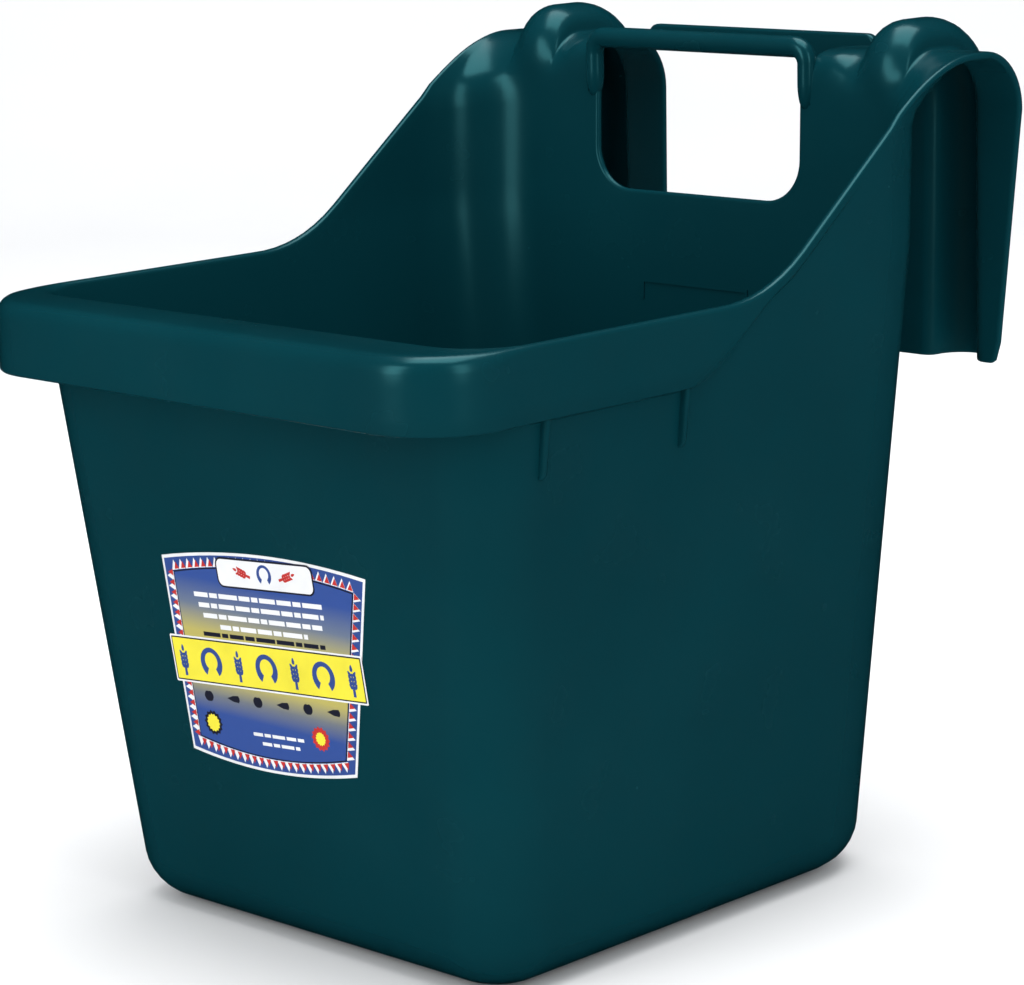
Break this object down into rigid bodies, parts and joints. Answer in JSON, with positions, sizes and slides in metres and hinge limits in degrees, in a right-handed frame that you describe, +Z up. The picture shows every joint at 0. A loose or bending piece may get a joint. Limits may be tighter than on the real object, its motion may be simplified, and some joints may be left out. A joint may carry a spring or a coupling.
{
  "type": "hook-over feed bucket",
  "caption": "Flat-back hook-over feed bucket: tapered moulded tub with wide front lip, sloping sides, hand hole and two hooks that hang over a board.",
  "frame": {"origin": "middle of the whole object's box, on the surface that the floor stands on", "axes": "+Z up, -Y out of the front lip, +Y towards the fence or wall that the hooks go over, +X to the right seen from the front"},
  "size_m": [0.292, 0.4032, 0.388],
  "materials": {
    "moulded_plastic": "injection-moulded polyethylene, satin gloss, faint flow texture",
    "label_film": "printed adhesive film, satin"
  },
  "bodies": {
    "root": {"tub_floor": "moulded_plastic", "front_wall": "moulded_plastic", "left_wall": "moulded_plastic", "right_wall": "moulded_plastic", "rear_wall": "moulded_plastic", "front_left_corner": "moulded_plastic", "front_right_corner": "moulded_plastic", "rear_left_corner": "moulded_plastic", "rear_right_corner": "moulded_plastic", "front_lip": "moulded_plastic", "left_side_lip": "moulded_plastic", "right_side_lip": "moulded_plastic", "left_cheek": "moulded_plastic", "right_cheek": "moulded_plastic", "back_panel": "moulded_plastic", "handle_grip": "moulded_plastic", "rear_tie_bar": "moulded_plastic", "left_hook_inner_strap": "moulded_plastic", "right_hook_inner_strap": "moulded_plastic", "left_hook_outer_strap": "moulded_plastic", "right_hook_outer_strap": "moulded_plastic", "left_hook_dome": "moulded_plastic", "right_hook_dome": "moulded_plastic", "left_dome_root": "moulded_plastic", "right_dome_root": "moulded_plastic", "left_front_stacking_rib": "moulded_plastic", "left_rear_stacking_rib": "moulded_plastic", "right_front_stacking_rib": "moulded_plastic", "right_rear_stacking_rib": "moulded_plastic", "level_marks": "moulded_plastic", "label": "label_film"}
  },
  "joints": []
}
